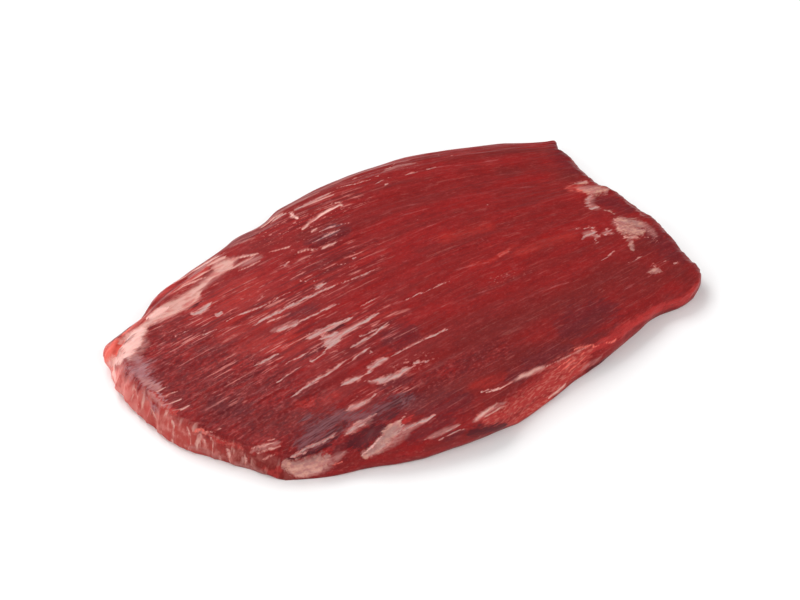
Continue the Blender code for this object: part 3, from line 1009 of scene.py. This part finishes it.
def fibre_noise(long, wide, detail=2.0, seed=0.0, high=None):
    """Noise drawn out along the fibres, by the length, width and height of its features."""
    stretch = nodes.new("ShaderNodeVectorMath")
    stretch.operation = "MULTIPLY_ADD"
    feed(stretch.inputs[0], stored("grain"))
    feed(stretch.inputs[1], (1 / long, 1 / wide, 1 / (high or wide)))
    feed(stretch.inputs[2], (seed, seed, seed))
    texture = nodes.new("ShaderNodeTexNoise")
    feed(texture.inputs["Vector"], stretch.outputs[0])
    feed(texture.inputs["Scale"], 1.0)
    feed(texture.inputs["Detail"], detail)
    return texture.outputs["Fac"]


def rise(value, low, high, top=1.0, bottom=0.0):
    """Smoothly from bottom below low to top above high, or down where high is less."""
    span = nodes.new("ShaderNodeMapRange")
    span.interpolation_type = "SMOOTHSTEP"
    feed(span.inputs["Value"], value)
    feed(span.inputs["From Min"], low)
    feed(span.inputs["From Max"], high)
    feed(span.inputs["To Min"], bottom)
    feed(span.inputs["To Max"], top)
    return span.outputs["Result"]


def blend(amount, under_colour, over_colour):
    """One colour laid over another, by a cover from 0 to 1."""
    mix = nodes.new("ShaderNodeMix")
    mix.data_type = "RGBA"
    feed(mix.inputs[0], amount)
    feed(mix.inputs[6], under_colour)
    feed(mix.inputs[7], over_colour)
    return mix.outputs[2]


def layered(colour, layers):
    """Colours laid over a first one, in turn: (cover, colour) of each."""
    for cover, laid in layers:
        colour = blend(cover, colour, laid)
    return colour


def where(name, amount):
    """A cover, in the places that the mesh keeps under a name."""
    return sums("MULTIPLY", amount, stored(name))


FINE_TUFTS = 0.42


def mark_mask(name, soft, ragged, seed, top=1.0, long=0.0060, wide=0.0012):
    """Cover of a kind of mark, its edge frayed in tufts of a length and width."""
    coarse = rise(fibre_noise(long, wide, 3.0, seed), 0.32, 0.68, ragged)
    tufts = fibre_noise(FINE_TUFTS * long, FINE_TUFTS * wide, 2.0, seed + 1.0)
    fine = rise(tufts, 0.35, 0.65, ragged * 0.7)
    frayed_distance = sums("ADD", stored(name), sums("ADD", coarse, fine))
    middle = 1.0 + 0.85 * ragged
    return rise(frayed_distance, middle + soft, middle - soft, top)


# Patterns: the length and width of their features, their fineness, and a seed
broad = fibre_noise(0.090, 0.0080, 2.0, 3.0)
patches = fibre_noise(0.035, 0.018, 2.0, 23.0)
streaky = fibre_noise(0.040, 0.0016, 3.0, 7.0)
lines = fibre_noise(0.045, 0.0010, 1.0, 29.0)
threads = fibre_noise(0.016, 0.0006, 2.0, 11.0)
granular = fibre_noise(0.0024, 0.0013, 4.0, 17.0)
mottled = fibre_noise(0.0120, 0.0060, 3.0, 21.0)
speckled = fibre_noise(0.0013, 0.0008, 3.0, 19.0)
blotchy = fibre_noise(0.0050, 0.0026, 4.0, 91.0)
specks = fibre_noise(0.0024, 0.0010, 3.0, 97.0)
broken = rise(fibre_noise(0.0100, 0.0030, 2.0, 83.0), 0.46, 0.62)
half_broken = rise(broken, 0.0, 1.0, 1.0, 0.25)

# Meat: broad changes of the red, then streaks, grain, threads and specks
meat = layered(blend(rise(broad, 0.35, 0.65, 0.85, 0.45), MEAT_SHADED, MEAT_RED), (
    (rise(patches, 0.45, 0.65, 0.6), MEAT_BRIGHT),
    # painted shade over the places of SHADED_MEAT
    (where("shaded", rise(patches, 0.7, 0.3, 0.95, 0.6)), MEAT_SHADED),
    # scarlet rims, painted lighter against the shade where they curl under
    (mark_mask("scarlet", 0.5, 0.4, 67.0, 0.85), MEAT_SCARLET),
    (where("glowing", rise(patches, 0.3, 0.6, 0.65, 0.35)), MEAT_GLOWING),
    (mark_mask("dusky", 0.9, 1.0, 71.0, 0.65), MEAT_PURPLE),
    (rise(streaky, 0.52, 0.34, 0.10), MEAT_MAROON),
    (where("streaked", rise(streaky, 0.52, 0.36, 0.50)), MEAT_MAROON),
    (where("streaked", rise(streaky, 0.54, 0.68, 0.50)), MEAT_ORANGE),
    (where("grained", rise(mottled, 0.38, 0.60, 0.40)), MEAT_MAROON),
    (where("grained", rise(granular, 0.52, 0.36, 0.60)), MEAT_MAROON),
    (where("grained", rise(granular, 0.54, 0.68, 0.30)), VEIN_PINK),
    (where("streaked", sums("MULTIPLY", broken, rise(threads, 0.54, 0.66, 0.50))), VEIN_PINK),
    (where("streaked", sums("MULTIPLY", broken, rise(lines, 0.58, 0.66, 0.85))), FAT_PINK),
    (rise(blotchy, 0.50, 0.30, 0.22), MEAT_MAROON),
    (rise(blotchy, 0.54, 0.72, 0.12), VEIN_PINK),
    (sums("MULTIPLY", half_broken, mark_mask("faint", 0.8, 0.5, 95.0, 0.50)), VEIN_PINK),
    # pale specks: fine flecks of the meat, with painted wet glints among them
    (rise(speckled, 0.56, 0.76, 0.22), VEIN_PINK),
    (rise(speckled, 0.50, 0.30, 0.25), MEAT_MAROON),
    (where("specked", rise(specks, 0.60, 0.70, 0.75)), FAT_PINK),
    # painted wet glints: pale specks in the streaked places
    (where("streaked", sums("MULTIPLY", broken, rise(specks, 0.58, 0.70, 0.45))), FAT_PINK),
))

# Cut left end: it pales towards the far side, partly its own colour and partly painted light where
# the lamp on the left falls strongest, with specks and upright skins in it
paling = rise(stored("cut_place"), 0.0, 0.40, 1.0, 0.25)
flecks = fibre_noise(0.008, 0.0040, 3.0, 77.0, 0.006)
skins = fibre_noise(0.020, 0.0026, 3.0, 73.0, 0.012)
cut_ends = layered(blend(rise(stored("cut_place"), 0.05, 0.50), CUT_DARK, CUT_RED), (
    (rise(stored("cut_place"), 0.50, 0.95), CUT_PALE),
    (sums("MULTIPLY", paling, rise(flecks, 0.48, 0.66, 0.7)), FAT_PINK),
    (rise(flecks, 0.50, 0.34, 0.6), MEAT_FRESH),
    (sums("MULTIPLY", paling, rise(skins, 0.57, 0.69, 0.8)), FAT_CREAM),
))

# Freshly cut meat (partly painted light), skins, painted shade in the hollows, and fat, each with
# streaks of its own
fresh_streaks = fibre_noise(0.0034, 0.0010, 4.0, 35.0)
fresh_and_lit_colour = blend(rise(fresh_streaks, 0.46, 0.66, 0.75), MEAT_FRESH, FRESH_PINK)
skin_streaks = fibre_noise(0.012, 0.0011, 3.0, 61.0)
skin_colour = blend(rise(skin_streaks, 0.36, 0.64), SKIN_DARK, SKIN_PALE)
film_clouds = fibre_noise(0.006, 0.0030, 3.0, 65.0)
film_colour = blend(rise(film_clouds, 0.36, 0.60), FILM_PINK, FILM_LILAC)
haze_streaks = fibre_noise(0.0050, 0.0011, 3.0, 101.0)
fat_gaps = rise(fibre_noise(0.006, 0.0009, 2.0, 87.0), 0.34, 0.46, 1.0, 0.45)
grey_mask = mark_mask("grey", 0.55, 0.8, 43.0, 0.95, 0.0036, 0.0015)
grey_colour = layered(blend(rise(stored("grey"), 1.1, 0.3), FAT_PINK, FAT_GREY), (
    (rise(fibre_noise(0.008, 0.0009, 3.0, 45.0), 0.50, 0.34, 0.6), VEIN_PINK),
))
cream_clouds = fibre_noise(0.010, 0.0025, 3.0, 53.0)
cream_colour = layered(blend(rise(cream_clouds, 0.32, 0.56), FAT_PINK, FAT_CREAM), (
    (rise(stored("cream"), 0.4, 1.2, 0.8), FAT_PINK),
))
patch_clouds = fibre_noise(0.004, 0.0030, 3.0, 107.0)
patch_colour = layered(blend(rise(patch_clouds, 0.38, 0.60), FAT_HAZE_AND_SHEEN, FAT_WARM), (
    (mark_mask("lilac", 1.2, 0.8, 109.0, 0.90, 0.0034, 0.0024), FAT_LILAC),
))
meat = layered(meat, (
    (stored("left_cut"), cut_ends),
    (mark_mask("fresh_and_lit", 0.9, 0.8, 37.0, 0.9), fresh_and_lit_colour),
    # painted highlights, and the lit orange nub
    (mark_mask("peach_highlight", 0.9, 0.5, 99.0, 0.85), PEACH_HIGHLIGHT_COLOUR),
    (mark_mask("skin", 0.8, 1.0, 41.0, 0.85), skin_colour),
    # painted shade in the hollows and creases
    (mark_mask("dark", 0.6, 0.8, 31.0, 0.90), HOLLOW_SHADE),
    (mark_mask("film", 1.0, 1.0, 69.0, 0.72), film_colour),
    (where("hazy", rise(haze_streaks, 0.38, 0.58, 0.80, 0.40)), FAT_HAZE_AND_SHEEN),
    (sums("MULTIPLY", fat_gaps, grey_mask), grey_colour),
    (mark_mask("cream", 0.90, 0.60, 47.0, 0.90), cream_colour),
    (mark_mask("patchy", 1.0, 0.9, 105.0, 0.88, 0.0034, 0.0024), patch_colour),
    (mark_mask("bright", 0.90, 0.60, 103.0, 0.80), PALE_FAT_AND_HIGHLIGHT),
))
feed(shader.inputs["Base Color"], meat)

# Moist and a little see-through, with the finest ridges and hairs as bumps
DRY_ROUGHNESS = 0.48
WET_ROUGHNESS = 0.32
MIRRORING = 0.06
GLOW_SHARE = 0.15
GLOW_SPREAD = (1.0, 0.25, 0.15)
GLOW_DEPTH = 0.0015
RIDGE_STRENGTH = 0.5
RIDGE_HEIGHT = 0.0004
HAIR_STRENGTH = 0.35
HAIR_HEIGHT = 0.00015

wet = fibre_noise(0.010, 0.0022, 2.0, 59.0)
feed(shader.inputs["Roughness"], rise(wet, 0.3, 0.7, DRY_ROUGHNESS, WET_ROUGHNESS))
shader.inputs["Specular IOR Level"].default_value = MIRRORING
shader.inputs["Subsurface Weight"].default_value = GLOW_SHARE
shader.inputs["Subsurface Radius"].default_value = GLOW_SPREAD
shader.inputs["Subsurface Scale"].default_value = GLOW_DEPTH

ridges = nodes.new("ShaderNodeBump")
feed(ridges.inputs["Strength"], RIDGE_STRENGTH)
feed(ridges.inputs["Distance"], RIDGE_HEIGHT)
feed(ridges.inputs["Height"], where("grained", sums("ADD", streaky, granular)))
hairs = nodes.new("ShaderNodeBump")
feed(hairs.inputs["Strength"], HAIR_STRENGTH)
feed(hairs.inputs["Distance"], HAIR_HEIGHT)
feed(hairs.inputs["Height"], threads)
feed(hairs.inputs["Normal"], ridges.outputs["Normal"])
feed(shader.inputs["Normal"], hairs.outputs["Normal"])
steak.data.materials.append(beef)

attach(steak, "root")
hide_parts("flank_steak")

# The floor. Plain white board that the steak lies on, wide enough to fill the view
# from any side.
FLOOR_SIZE = 6.0
FLOOR_WHITE = (0.93, 0.93, 0.93, 1.0)
FLOOR_ROUGHNESS = 0.9
bpy.ops.mesh.primitive_plane_add(size=FLOOR_SIZE, location=(0.0, 0.0, 0.0))
floor = bpy.context.object
floor.name = "floor"
floor_white = bpy.data.materials.new("floor_white")
floor_white.use_nodes = True
floor_shader = floor_white.node_tree.nodes["Principled BSDF"]
floor_shader.inputs["Base Color"].default_value = FLOOR_WHITE
floor_shader.inputs["Roughness"].default_value = FLOOR_ROUGHNESS
floor.data.materials.append(floor_white)

# Studio light: a large soft lamp high behind the steak, smaller ones on the left
# and in front, and a dim even surround, so that the moist meat mirrors little.
SURROUND = 0.28
SURROUND_WHITE = (1.0, 1.0, 1.0, 1.0)
LAMPS = (  # name, place, size, power
    ("far_lamp", Vector((-0.08, 0.93, 1.11)), 1.0, 15.2),
    ("left_lamp", Vector((-1.15, 0.10, 0.70)), 1.0, 8.4),
    ("front_lamp", Vector((0.42, -1.14, 0.80)), 1.2, 12.6),
)
for name, place, size, power in LAMPS:
    lamp = bpy.data.lights.new(name, "AREA")
    lamp.shape = "SQUARE"
    lamp.size = size
    lamp.energy = power
    lamp_object = bpy.data.objects.new(name, lamp)
    lamp_object.location = place
    lamp_object.rotation_euler = place.to_track_quat("Z", "Y").to_euler()
    bpy.context.scene.collection.objects.link(lamp_object)
world = bpy.data.worlds.new("surround")
world.use_nodes = True
backdrop = world.node_tree.nodes["Background"]
backdrop.inputs["Color"].default_value = SURROUND_WHITE
backdrop.inputs["Strength"].default_value = SURROUND
bpy.context.scene.world = world
bpy.context.scene.view_settings.view_transform = "Standard"
